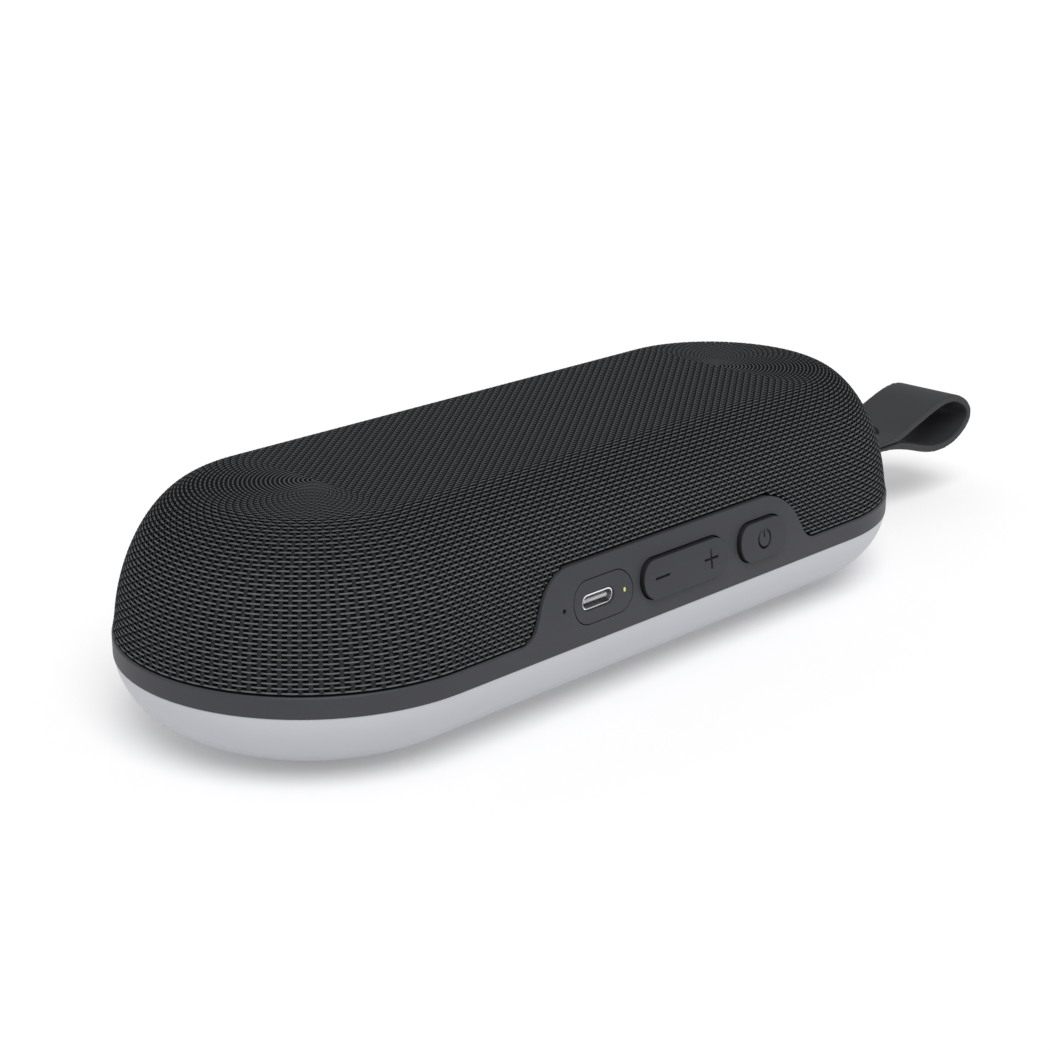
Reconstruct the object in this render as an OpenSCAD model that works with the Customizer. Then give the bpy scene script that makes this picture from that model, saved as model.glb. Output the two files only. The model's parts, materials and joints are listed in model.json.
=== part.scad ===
// Oval shower speaker with a bowl-shaped base, a woven dome, three keys on the front and a strap
// loop at one end. Origin on the surface it stands on, at the body's centre. +X points to the strap,
// -Y to the keys and +Z up. Millimetres.

/* [Body] */
// Length of the body without the strap
body_length = 201.4; // [199:0.1:210]
// Width of the body
body_width = 80.2; // [80:0.1:82]
// Height of the body
body_height = 48.8; // [48.5:0.1:51]
// Height of the seam between the base and the dark band
seam_height = 16.2; // [16:0.1:16.4]
// Height of the dark band's upper edge
band_top = 20.4; // [20.2:0.1:20.6]
// Wall thickness of the base
base_wall = 2.2; // [2:0.1:2.4]
// Thickness of the rubber foot below its seat
foot_height = 1.5; // [1.2:0.1:1.6]
// How far the foot stands below the base
foot_proud = 0.8; // [0.6:0.1:0.9]

/* [Bowl] */
// Width of the curved part of the base, seen in section
bowl_reach = 26.1; // [25:0.1:27]
// Height of the curved part of the base, seen in section
bowl_rise = 18.1; // [18:0.1:18.4]
// Squareness of the bowl's curve, where 2 is an ellipse
bowl_power = 2.13; // [2:0.01:2.3]

/* [Dome] */
// Set-back of the fabric from the band's outer face
dome_setback = 0.5; // [0.4:0.02:1]
// Width of the curved part of the dome, seen in section
dome_reach = 16.9; // [16.8:0.1:19]
// Squareness of the dome's curve, where 2 is an ellipse
dome_power = 1.77; // [1.75:0.01:2]
// Thickness of the woven cover
fabric_skin = 0.8; // [0.6:0.1:1]
// Thickness of the perforated frame under the cover
grille_wall = 1.6; // [1.4:0.1:1.8]
// Radius of the frame's sound holes
grille_hole_r = 3.4; // [2:0.1:3.8]

/* [Control panel] */
// Sideways place of the panel's middle
panel_x = 1.3; // [0:0.1:2]
// Height of the panel's upper edge
panel_top = 32.3; // [32:0.1:32.6]
// Half-width of the panel's straight upper edge
panel_flat = 29.9; // [29:0.1:31]
// Radius of the panel's upper corners
panel_corner_r = 10.85; // [10:0.05:11]
// Radius of the flare where the panel runs into the band
panel_flare_r = 5; // [4.5:0.1:5.5]
// Width of the panel's curve, seen in section
panel_reach = 18.4; // [18.2:0.1:22]
// Wall thickness of the panel
panel_wall = 2.2; // [2:0.1:2.4]
// Gap between the panel and the cover round it
panel_gap = 0.3; // [0.2:0.05:0.4]
// Height of the middle of the keys and the port
key_z = 24.4; // [24.3:0.1:24.5]
// Length of the volume rocker
rocker_length = 26.3; // [26:0.1:26.8]
// Length of the power key
power_length = 15.4; // [15:0.1:16]
// Length of the insert round the charging port
insert_length = 16.9; // [16.5:0.1:17.2]
// Height of the insert
insert_height = 8.6; // [8.4:0.1:8.8]
// Height of the keys
key_height = 8.1; // [8:0.1:8.4]
// How far the keys stand out from the panel
key_proud = 1.1; // [0.9:0.1:1.2]
// Gap round each key
key_gap = 0.3; // [0.28:0.01:0.34]

/* [Strap] */
// Width of the strap
strap_width = 18; // [17:0.5:20]
// Thickness of the strap
strap_thick = 1.8; // [1.6:0.1:2]
// Distance of the strap's pin from the body's end
pin_reach = 6.8; // [6.6:0.1:7.2]
// Height of the strap's pin
pin_z = 18.4; // [18.3:0.1:18.5]

/* [Drivers] */
// Outer radius of a driver's flange
driver_r = 26; // [25.5:0.1:26]
// Radius of a driver's moving cone
cone_r = 16.6; // [16.4:0.1:16.7]
// Radius of a driver's magnet
magnet_r = 15; // [13:0.5:15.5]
// Half-length of the radiator's straight sides
radiator_half = 11.5; // [10:0.5:11.5]

/* [Battery] */
// Diameter of a battery cell
cell_d = 18.4; // [18:0.1:18.6]
// Length of a battery cell
cell_length = 65; // [64:0.5:65]

/* [Hidden] */
$fn = 64;

cut = 0.5; // overshoot of a cutting solid
slack = 0.02; // radial clearance round a held pin or screw
running = 0.05; // radial clearance round a turning pin
touch_gap = 0.05; // gap between a key's stem and its switch

half_width = body_width / 2;
half_straight = body_length / 2 - half_width;
body_end = body_length / 2;

curve_steps = 14;
foot_r = 22; // half-width of the foot
foot_edge = 0.3; // bevel of the foot's lower edge
bowl_floor = foot_proud + base_wall; // height of the base's inner floor
dome_rise = body_height - band_top;
rim_r = 36; // inner radius of the base's rim
rim_depth = 2.4;
groove_r = 38.2; // radius of the seal's middle
groove_width = 1.6;
groove_depth = 1.5;
seal_r = 0.7;
lip_in = 34.6; // inner radius of the band
lip_low = 35.8; // outer radius of the lip inside the base
lip_high = 36.5; // outer radius of the lip inside the grille
lip_reach = 2.2; // how far the lower lip goes down
lip_rise = 1.6; // how far the upper lip goes up

screw_r = 1.1; // shank radius of the housing screws
screw_head_r = 2;
screw_head = 1.3;
frame_screw_length = 9;
baffle_screw_length = 11;
through = 0.15; // radial clearance of a screw's through hole
frame_post_r = 2.6;
frame_post_d = 31.8; // distance of the band's screws from the long axis or the end's centre
tab_r = 3.4;
tab_thick = 2;
baffle_post_r = 3;
baffle_z = 34;
baffle_thick = 2.5;
baffle_r = 32.5;
baffle_top = baffle_z + baffle_thick;

gasket_thick = 0.6;
flange_thick = 1.5;
flange_z = baffle_top + gasket_thick;
flange_top = flange_z + flange_thick;
flange_in = 20.2;
driver_hole_r = 21.5;
driver_screw_d = 24.3; // distance of a driver's screws from its axis
small_screw_r = 0.8;
small_head_r = 1.3;
small_head = 0.9;
driver_screw_length = 4;
board_screw_length = 4.5;
basket_foot = 24; // height of a basket's underside
plate_thick = 1.6;
magnet_thick = 5;
yoke_thick = 2;
pole_r = 5.7;
coil_in = 6.1;
coil_out = 7.1;
coil_gap_r = 7.5;
spider_z = 31;
neck_z = 33;
roll_r = 1.9; // radius of a surround's half roll
soft = 0.4; // thickness of the soft surrounds
driver_roll_d = 18.7; // distance of a driver surround's roll from its axis
radiator_roll_d = 15.4; // the same for the radiator
radiator_r = 22;
radiator_plate_r = 13.4;
radiator_hole_r = 17;

cell_r = cell_d / 2;
cell_y = cell_r + 0.4;
cradle_wall = 1.2;
cell_z = bowl_floor + cradle_wall + cell_r + 0.1;
cradle_half = [cell_length / 2 + 1.5, 2 * cell_r + 1.4];
cradle_top = 10;

board_half = [23, 16.5];
board_z = 8;
board_thick = 1.2;
board_screw = [20, 13.5];
board_post_r = 2.2;
lead_r = 0.6;
flex_thick = 0.3;
terminal = [half_straight - 17.4, 15.6, 27.2]; // solder tag of the right driver's basket

front_far = 45; // well in front of the panel
panel_back = 31; // well behind the panel's inner face
key_back = 36.8; // back of the keys' outer body
insert_back = 37;
pocket_y = 37.7; // depth of the panel's inner pocket from the long axis
pocket_z = [18.3, 29.6];
pocket_x = [-34.3, 37.4];
control_y = 32.2; // front face of the control board
control_z = [18.4, 30.6];
control_x = [-38.4, 41.2];
boss_x = [-36.4, 39.2];
boss_r = 1.7;
boss_z = 24;
rocker_x = 3;
power_x = 28.1;
insert_x = -21.1;
insert_gap = 0.2; // gap round the insert
port_x = -22.6;
led_x = -15;
led_size = [0.6, 0.9];
mic_x = -32.3;
mic_hole_r = 0.5;
flange_grow = 0.6; // how far the power key's and insert's inner flange stands out
stem_reach = 9; // distance of the rocker's stems from its pivot
stem_r = 1.2;
pivot_y = 35.5; // distance of the rocker's pin from the long axis
pivot_r = 0.75;
hub_r = 1.5; // radius of the rocker's hub on its pin
hub_half = 3.6;
pin_cover = 0.6; // what the upper ear leaves over the end of the rocker's pin
ear_half = 1.8;
ear_back = 34; // distance of the ears' back from the long axis
ear_z = [[17.5, 19], [29.2, 30.6]]; // heights of the lower and the upper ear
sign_reach = 7.6; // distance of the minus and plus signs from the rocker's middle
sign_half = 2.25; // half-length of the minus and plus signs
sign_width = 0.5;
sign_z = key_z + 0.2;
sign_y = half_width + key_proud - 0.9; // floor of the signs
ring_r = 2.2; // outer radius of the standby sign's ring
ring_break = 0.75; // half-width of the break in the ring
plunger_y = 34.8; // tip of the switches' plungers
plunger_r = 1.3;
switch_half = 2.25;
switch_depth = 1.8;
port_size = [8.94, 3.2];
port_wall = 0.3;
port_mouth = 39.4;

pin_x = body_end + pin_reach;
pin_r = 1;
pin_half = 8;
lug_half = [3.9, 1.4];
eye_r = 2.2;
strap_eye_r = 2.7;
notch_half = 4.2;
notch_end = 119.3;
// Points that the strap's middle line is drawn through, from the neck round the loop and back
strap_points = [
    [108, 18.9], [114, 18.75], [120, 18.4], [127, 16.9], [135.3, 14.5], [141.4, 13.75], [147.5, 14.6],
    [152.3, 17.2], [154.1, 20.2], [152, 23.4], [146.8, 25.7], [140.5, 25.4], [132.5, 23.1], [125, 20.7],
    [120, 19.6], [114, 19.2], [108, 19]
];
strap_steps = 5; // parts of the line between two points
strap_fused = 7; // parts of the line at each end where the two layers are one
seam = [0.8, 0.6]; // depth and height of the seam along the neck's sides
seam_x = [111, 123];
seam_z = 18.95;

frame_screw_xy = [
    for (sx = [-1, 1], sy = [-1, 1]) each [
        [sx * 44, sy * frame_post_d],
        [sx * (half_straight + frame_post_d * cos(25)), sy * frame_post_d * sin(25)]
    ]
];
baffle_screw_xy = concat(
    [for (sx = [-1, 1], sy = [-1, 1]) [sx * (half_straight + 20.5), sy * 20.5]],
    [[0, -26.5], [0, 26.5]]
);
switch_x = [rocker_x - stem_reach, rocker_x + stem_reach, power_x];

// ---- Curves ----

// Radius and height of a point on the bowl's section, moved in by a wall
function bowl_point(t, wall) = [
    half_width - bowl_reach + (bowl_reach - wall) * pow(sin(t), 2 / bowl_power),
    bowl_rise - (bowl_rise - wall) * pow(cos(t), 2 / bowl_power)
];

// Angle at which the bowl's section reaches a height
function bowl_angle(z, wall) = acos(pow((bowl_rise - z) / (bowl_rise - wall), bowl_power / 2));

function bowl_curve(z_from, z_to, wall) =
    let (from = bowl_angle(z_from, wall), to = bowl_angle(z_to, wall))
    [for (i = [0:curve_steps]) bowl_point(from + (to - from) * i / curve_steps, wall)];

// Section of the dome's surface, moved in by a wall, from the band to the middle of the top
function dome_curve(wall, start = 0, setback = dome_setback, reach = dome_reach) = [
    for (i = [0:curve_steps])
        let (t = 90 * i / curve_steps)
        [
            half_width - setback - wall - reach * (1 - pow(cos(t), 2 / dome_power)),
            max(band_top + start, band_top + (dome_rise - wall) * pow(sin(t), 2 / dome_power))
        ]
];

// Section of the panel's surface, which starts flush with the band
function panel_curve(out) = dome_curve(-out, 0, 0, panel_reach);

function reversed(list) = [for (i = [len(list) - 1:-1:0]) list[i]];

function arc(centre, r, from, to, steps = 10) = [
    for (i = [0:steps])
        let (t = from + (to - from) * i / steps)
        centre + r * [cos(t), sin(t)]
];

// Right half of the panel's outline, from the band up to the top, as arcs joined by a straight slope
function panel_half(grow) =
    let (
        slope = 26.6,
        corner = [panel_flat, panel_top - panel_corner_r],
        high = corner + panel_corner_r * [cos(slope), sin(slope)],
        flare_z = band_top + panel_flare_r,
        run = (high[1] - (flare_z - panel_flare_r * sin(slope))) * tan(slope),
        flare = [high[0] + run + panel_flare_r * cos(slope), flare_z]
    )
    concat(
        arc(flare, panel_flare_r - grow, 270, 180 + slope),
        arc(corner, panel_corner_r + grow, slope, 90)
    );

// A smooth line through points, as a Catmull-Rom curve
function spline_point(p, i, t) =
    let (a = p[i - 1], b = p[i], c = p[i + 1], d = p[i + 2])
    0.5 * (2 * b + (c - a) * t + (2 * a - 5 * b + 4 * c - d) * t * t + (3 * b - a - 3 * c + d) * t * t * t);

function spline(p, steps) = [
    for (i = [1:len(p) - 3], j = [0:steps - 1]) spline_point(p, i, j / steps),
    p[len(p) - 2]
];

// The line moved sideways by a distance
function beside(line, distance) = [
    for (i = [0:len(line) - 1])
        let (
            ahead = line[min(i + 1, len(line) - 1)] - line[max(i - 1, 0)],
            along = ahead / norm(ahead)
        )
        line[i] + distance * [-along[1], along[0]]
];

// ---- Shared shapes ----

// Sweeps a section of radius and height round an oval with straight sides
module oval(half = half_straight) {
    for (side = [-1, 1]) {
        translate([side * half, 0, 0])
            rotate([0, 0, -90 * side])
            rotate_extrude(angle = 180, $fn = 96)
            children();
        scale([1, side, 1])
            translate([-half, 0, 0])
            rotate([90, 0, 90])
            linear_extrude(2 * half)
            children();
    }
}

// An upright oval disc
module oval_disc(half, r, z_from, z_to) {
    for (side = [-1, 1])
        translate([side * half, 0, z_from]) cylinder(r = r, h = z_to - z_from, $fn = 96);
    translate([-half, -r, z_from]) cube([2 * half, 2 * r, z_to - z_from]);
}

// A pill that points forward, from one depth to another, both measured forward from the long axis
module pill(x, z, size, y_from, y_to) {
    r = size[1] / 2;
    for (side = [-1, 1])
        translate([x + side * (size[0] / 2 - r), -y_from, z])
            rotate([90, 0, 0])
            cylinder(r = r, h = y_to - y_from);
    translate([x - size[0] / 2 + r, -y_to, z - r]) cube([size[0] - size[1], y_to - y_from, size[1]]);
}

// A rod that points forward
module front_rod(x, z, r, y_from, y_to) {
    translate([x, -y_from, z]) rotate([90, 0, 0]) cylinder(r = r, h = y_to - y_from);
}

// Block between two corners
module block(low, high) {
    translate(low) cube(high - low);
}

// Everything in front of the long axis and behind the panel's surface moved out by a distance
module behind_panel(out) {
    reach = half_straight - 2;
    low = band_top - 4;
    line = panel_curve(out);
    translate([-reach, 0, 0])
        rotate([90, 0, 90])
        linear_extrude(2 * reach)
        polygon(concat(
            [[0, low], [-line[0][0], low]],
            [for (p = line) [-p[0], p[1]]],
            [[0, body_height + out]]
        ));
}

// The panel's outline, swept forward
module panel_prism(grow, y_from, y_to, z_low) {
    right = panel_half(grow);
    left = [for (p = reversed(right)) [-p[0], p[1]]];
    foot = right[0][0];
    translate([panel_x, -y_from, 0])
        rotate([90, 0, 0])
        linear_extrude(y_to - y_from)
        polygon(concat([[-foot, z_low], [foot, z_low]], right, left));
}

module at_drivers() {
    for (side = [-1, 1]) translate([side * half_straight, 0, 0]) children();
}

// A screw with a pan head whose underside is at the origin, pointing down
module screw(r, length, head_r, head) {
    difference() {
        union() {
            translate([0, 0, -length]) cylinder(r = r, h = length + head / 2, $fn = 32);
            cylinder(r = head_r, h = head, $fn = 32);
        }
        translate([-head_r * 0.6, -0.2, head * 0.5]) cube([head_r * 1.2, 0.4, head]);
        translate([-0.2, -head_r * 0.6, head * 0.5]) cube([0.4, head_r * 1.2, head]);
    }
}

// Section of a half-roll surround lying on a flat level
module roll_section(middle, level, outer_land) {
    centre = [middle, level + soft / 2];
    polygon(concat(
        [[middle + outer_land, level], [middle + outer_land, level + soft]],
        arc(centre, roll_r + soft / 2, 5, 175, 16),
        [[middle - roll_r - 1.3, level + soft], [middle - roll_r - 1.3, level]],
        reversed(arc(centre, roll_r - soft / 2, -5, 185, 16))
    ));
}

// A round lead through a list of places
module lead(places, r) {
    for (i = [0:len(places) - 2]) {
        run = places[i + 1] - places[i];
        flat_run = norm([run[0], run[1]]);
        translate(places[i])
            rotate([0, atan2(flat_run, run[2]), atan2(run[1], run[0])])
            cylinder(r = r, h = norm(run), $fn = 24);
    }
    for (i = [1:len(places) - 2]) translate(places[i]) sphere(r = r * 1.06, $fn = 24);
}

// ---- Housing ----

module base_section() {
    polygon(concat(
        [[0, foot_height], [foot_r + 0.1, foot_height], [foot_r + 0.1, foot_proud]],
        bowl_curve(foot_proud, seam_height, 0),
        [
            [groove_r + groove_width / 2, seam_height],
            [groove_r + groove_width / 2, seam_height - groove_depth],
            [groove_r - groove_width / 2, seam_height - groove_depth],
            [groove_r - groove_width / 2, seam_height],
            [rim_r, seam_height],
            [rim_r, seam_height - rim_depth]
        ],
        reversed(bowl_curve(bowl_floor, seam_height - rim_depth - 1.2, base_wall)),
        [[0, bowl_floor]]
    ));
}

// The space inside the bowl's skin, which trims the posts
module bowl_core() {
    oval() polygon(concat(
        [[0, foot_proud + 1]],
        bowl_curve(foot_proud + 1, seam_height, 1),
        [[half_width - 3, baffle_z + 2], [0, baffle_z + 2]]
    ));
}

module post(xy, r, top, bore_r, bore_depth) {
    translate([xy[0], xy[1], 1]) difference() {
        cylinder(r = r, h = top - 1, $fn = 32);
        translate([0, 0, top - 1 - bore_depth]) cylinder(r = bore_r, h = bore_depth + cut, $fn = 32);
    }
}

module base_shell() {
    color([0.76, 0.77, 0.79]) union() {
        oval() base_section();
        intersection() {
            bowl_core();
            union() {
                for (xy = frame_screw_xy)
                    post(xy, frame_post_r, seam_height, screw_r + slack, frame_screw_length);
                for (xy = baffle_screw_xy)
                    post(xy, baffle_post_r, baffle_z, screw_r + slack, baffle_screw_length + 1);
                for (sx = [-1, 1], sy = [-1, 1])
                    post([sx * board_screw[0] - half_straight, sy * board_screw[1]],
                        board_post_r, board_z, small_screw_r + slack, board_screw_length - 0.5);
            }
        }
    }
}

module foot_pad() {
    color([0.16, 0.16, 0.17]) oval()
        polygon([
            [0, 0], [foot_r - foot_edge, 0], [foot_r, foot_edge], [foot_r, foot_height], [0, foot_height]
        ]);
}

module seal_ring() {
    color([0.1, 0.1, 0.1]) oval()
        translate([groove_r, seam_height - groove_depth / 2]) circle(r = seal_r, $fn = 32);
}

module band_section() {
    polygon([
        [half_width, seam_height], [half_width, band_top - 0.3], [half_width - 0.3, band_top],
        [lip_high, band_top], [lip_high, band_top + lip_rise], [lip_in, band_top + lip_rise],
        [lip_in, seam_height - lip_reach], [lip_low, seam_height - lip_reach], [lip_low, seam_height]
    ]);
}

// The panel between the cover's surface and its own inner face
module panel_slab() {
    intersection() {
        panel_prism(0, panel_back, front_far, band_top - 1);
        difference() {
            behind_panel(0);
            behind_panel(-panel_wall);
        }
    }
}

module mid_frame() {
    color([0.29, 0.29, 0.31]) difference() {
        union() {
            difference() {
                union() {
                    oval() band_section();
                    panel_slab();
                }
                block([pocket_x[0], -pocket_y, pocket_z[0]], [pocket_x[1], -panel_back, pocket_z[1]]);
            }
            // Screw tabs
            for (xy = frame_screw_xy) {
                on_side = abs(xy[0]) < half_straight;
                turn = on_side ? (xy[1] > 0 ? 90 : -90) : atan2(xy[1], xy[0] - sign(xy[0]) * half_straight);
                translate([xy[0], xy[1], seam_height]) {
                    cylinder(r = tab_r, h = tab_thick, $fn = 32);
                    rotate([0, 0, turn]) translate([0, -tab_r, 0]) cube([4.4, 2 * tab_r, tab_thick]);
                }
            }
            // Bosses for the control board
            for (x = boss_x) front_rod(x, boss_z, boss_r, control_y, pocket_y + 0.6);
            // Ears for the rocker's pin
            for (z = ear_z) block([rocker_x - ear_half, -pocket_y - cut, z[0]],
                [rocker_x + ear_half, -ear_back, z[1]]);
        }
        for (xy = frame_screw_xy)
            translate([xy[0], xy[1], seam_height - cut])
                cylinder(r = screw_r + through, h = tab_thick + 2 * cut, $fn = 32);
        for (x = boss_x)
            front_rod(x, boss_z, small_screw_r + slack, control_y - cut, control_y + board_screw_length);
        translate([rocker_x, -pivot_y, ear_z[0][0] - cut])
            cylinder(r = pivot_r + slack, h = ear_z[1][1] - ear_z[0][0] - pin_cover + cut, $fn = 32);
        pill(rocker_x, key_z, [rocker_length, key_height] + 2 * [key_gap, key_gap], key_back, front_far);
        pill(power_x, key_z, [power_length, key_height] + 2 * [key_gap, key_gap], key_back, front_far);
        pill(insert_x, key_z, [insert_length, insert_height] + 2 * [insert_gap, insert_gap],
            key_back, front_far);
        front_rod(mic_x, key_z, mic_hole_r, key_back, front_far);
        // Way out for the strap's lug
        block([body_end - 8, -lug_half[0] - 0.1, pin_z - lug_half[1] - 0.1],
            [body_end + 1, lug_half[0] + 0.1, pin_z + lug_half[1] + 0.1]);
    }
}

module frame_screws() {
    color([0.6, 0.6, 0.62]) for (xy = frame_screw_xy)
        translate([xy[0], xy[1], seam_height + tab_thick])
        screw(screw_r, frame_screw_length, screw_head_r, screw_head);
}

// ---- Dome ----

module grille_frame() {
    pitch = 2 * grille_hole_r + 2.8;
    rows = floor(20 / (pitch * cos(30)));
    color([0.13, 0.13, 0.14]) difference() {
        oval() polygon(concat(
            dome_curve(fabric_skin),
            [[0, body_height - fabric_skin], [0, body_height - fabric_skin - grille_wall]],
            reversed(dome_curve(fabric_skin + grille_wall))
        ));
        panel_prism(panel_gap, panel_back, front_far, band_top - 1);
        for (row = [-rows:rows], i = [-9:9]) {
            x = pitch * (i + (row % 2 == 0 ? 0 : 0.5));
            if (abs(x) < half_straight + 20)
                translate([x, row * pitch * cos(30), 36]) cylinder(r = grille_hole_r, h = 15, $fn = 24);
        }
    }
}

module fabric_cover() {
    hem = 0.15; // gap between the cover's edge and the band
    color([0.36, 0.37, 0.38]) difference() {
        oval() polygon(concat(dome_curve(0, hem), [[0, body_height], [0, body_height - fabric_skin]],
            reversed(dome_curve(fabric_skin, hem))));
        panel_prism(panel_gap, panel_back, front_far, band_top - 1);
    }
}

// ---- Sound ----

module baffle_plate() {
    color([0.2, 0.2, 0.21]) difference() {
        oval_disc(half_straight, baffle_r, baffle_z, baffle_top);
        at_drivers() {
            translate([0, 0, baffle_z - cut]) cylinder(r = driver_hole_r, h = baffle_thick + 2 * cut);
            for (turn = [0:90:270]) rotate([0, 0, turn]) translate([driver_screw_d, 0, baffle_z - cut])
                cylinder(r = small_screw_r + slack, h = baffle_thick + 2 * cut, $fn = 32);
        }
        oval_disc(radiator_half, radiator_hole_r, baffle_z - cut, baffle_top + cut);
        for (xy = baffle_screw_xy)
            translate([xy[0], xy[1], baffle_z - cut])
                cylinder(r = screw_r + through, h = baffle_thick + 2 * cut, $fn = 32);
    }
}

module baffle_screws() {
    color([0.6, 0.6, 0.62]) for (xy = baffle_screw_xy)
        translate([xy[0], xy[1], baffle_top]) screw(screw_r, baffle_screw_length, screw_head_r, screw_head);
}

module driver_frame(side) {
    color([0.25, 0.25, 0.26]) translate([side * half_straight, 0, 0]) difference() {
        rotate_extrude() polygon([
            [driver_r, flange_z], [driver_r, flange_top], [flange_in, flange_top], [flange_in, flange_z],
            [17.2, spider_z], [15.6, spider_z], [14.2, basket_foot + 1.6], [8.2, basket_foot + 1.6],
            [8.2, basket_foot], [15.4, basket_foot], [17, spider_z - 1.4], [18.4, spider_z - 1.4],
            [driver_hole_r - 0.2, 36], [driver_hole_r - 0.2, flange_z]
        ]);
        for (turn = [45:90:315]) rotate([0, 0, turn]) translate([16, -8, 31.6]) cube([8, 16, 4]);
        for (turn = [0:90:270]) rotate([0, 0, turn]) translate([driver_screw_d, 0, flange_z - cut])
            cylinder(r = small_screw_r + through, h = flange_thick + 2 * cut, $fn = 32);
    }
}

module driver_gaskets() {
    color([0.08, 0.08, 0.08]) at_drivers() difference() {
        translate([0, 0, baffle_top]) cylinder(r = driver_r, h = gasket_thick);
        translate([0, 0, baffle_top - cut]) cylinder(r = driver_hole_r, h = gasket_thick + 2 * cut);
        for (turn = [0:90:270]) rotate([0, 0, turn]) translate([driver_screw_d, 0, baffle_top - cut])
            cylinder(r = small_screw_r + through, h = gasket_thick + 2 * cut, $fn = 32);
    }
}

module driver_screws() {
    color([0.6, 0.6, 0.62]) at_drivers() for (turn = [0:90:270])
        rotate([0, 0, turn]) translate([driver_screw_d, 0, flange_top])
        screw(small_screw_r, driver_screw_length, small_head_r, small_head);
}

module tube(r_in, r_out, z_from, z_to) {
    translate([0, 0, z_from]) difference() {
        cylinder(r = r_out, h = z_to - z_from);
        translate([0, 0, -cut]) cylinder(r = r_in, h = z_to - z_from + 2 * cut);
    }
}

module driver_top_plates() {
    color([0.55, 0.55, 0.57]) at_drivers()
        tube(coil_gap_r, magnet_r - 1, basket_foot - plate_thick, basket_foot);
}

module driver_magnets() {
    top = basket_foot - plate_thick;
    color([0.15, 0.15, 0.16]) at_drivers() tube(coil_gap_r + 0.7, magnet_r, top - magnet_thick, top);
}

module driver_yokes() {
    top = basket_foot - plate_thick - magnet_thick;
    color([0.55, 0.55, 0.57]) at_drivers() difference() {
        union() {
            translate([0, 0, top - yoke_thick]) cylinder(r = magnet_r - 0.6, h = yoke_thick);
            translate([0, 0, top - 0.1]) cylinder(r = pole_r, h = basket_foot - top + 0.3);
        }
        translate([0, 0, top - yoke_thick - cut]) cylinder(r = 1.2, h = 12, $fn = 32);
    }
}

module spider(side) {
    waves = [for (i = [0:8]) [coil_out + 0.1 + i * 1.05, spider_z + (i % 2) * 0.5]];
    color([0.75, 0.6, 0.35]) translate([side * half_straight, 0, 0]) rotate_extrude() polygon(concat(
        waves,
        [[17, spider_z], [17, spider_z + soft]],
        [for (p = reversed(waves)) p + [0, soft]]
    ));
}

module surround(side) {
    color([0.1, 0.1, 0.1]) translate([side * half_straight, 0, 0])
        rotate_extrude() roll_section(driver_roll_d, flange_top, 3.9);
}

module cone(side) {
    color([0.22, 0.22, 0.23]) translate([side * half_straight, 0, 0]) rotate_extrude() polygon([
        [coil_out, neck_z], [cone_r - 1.4, flange_top - 0.6], [cone_r, flange_top - 0.6],
        [cone_r, flange_top], [cone_r - 1.6, flange_top], [coil_out, neck_z + 0.7]
    ]);
}

module dust_cap(side) {
    cap_r = 8;
    cap_rise = 2.4;
    ball = (cap_r * cap_r + cap_rise * cap_rise) / (2 * cap_rise);
    edge = asin(cap_r / ball);
    middle = [0, neck_z + 1.5 + cap_rise - ball];
    color([0.3, 0.3, 0.31]) translate([side * half_straight, 0, 0]) rotate_extrude()
        polygon(concat(arc(middle, ball, 90 - edge, 90), arc(middle, ball - soft, 90, 90 - edge)));
}

module voice_coil(side) {
    color([0.72, 0.45, 0.2]) translate([side * half_straight, 0, 0])
        tube(coil_in, coil_out, basket_foot - 4.6, neck_z + 0.7);
}

module radiator_frame() {
    color([0.25, 0.25, 0.26]) difference() {
        oval_disc(radiator_half, radiator_r, baffle_top, flange_top);
        oval_disc(radiator_half, radiator_hole_r + 0.4, baffle_top - cut, flange_top + cut);
    }
}

module radiator_surround() {
    color([0.1, 0.1, 0.1]) oval(radiator_half) roll_section(radiator_roll_d, flange_top, 4.4);
}

module radiator_plate() {
    color([0.45, 0.45, 0.47]) {
        oval_disc(radiator_half, radiator_plate_r, flange_top - 1.2, flange_top);
        oval_disc(radiator_half - 3, 8, flange_top - 3.4, flange_top - 1.2);
    }
}

// ---- Power and electronics ----

module battery_cell(side) {
    color([0.2, 0.45, 0.55]) translate([-cell_length / 2, side * cell_y, cell_z]) rotate([0, 90, 0]) {
        cylinder(r = cell_r, h = cell_length - 1);
        cylinder(r = 3, h = cell_length, $fn = 32);
    }
}

module battery_cradle() {
    color([0.12, 0.12, 0.13]) difference() {
        block([-cradle_half[0], -cradle_half[1], bowl_floor], [cradle_half[0], cradle_half[1], cradle_top]);
        for (side = [-1, 1]) translate([-cell_length / 2 - 0.2, side * cell_y, cell_z])
            rotate([0, 90, 0]) cylinder(r = cell_r + 0.1, h = cell_length + 0.4);
        for (x = [-20, 0, 20]) block([x - 6, -50, cradle_top - 4], [x + 6, 50, cradle_top + 1]);
    }
}

module main_board() {
    color([0.05, 0.3, 0.16]) translate([-half_straight, 0, board_z]) difference() {
        block([-board_half[0], -board_half[1], 0], [board_half[0], board_half[1], board_thick]);
        for (sx = [-1, 1], sy = [-1, 1]) translate([sx * board_screw[0], sy * board_screw[1], -cut])
            cylinder(r = small_screw_r + through, h = board_thick + 2 * cut, $fn = 32);
    }
}

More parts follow.
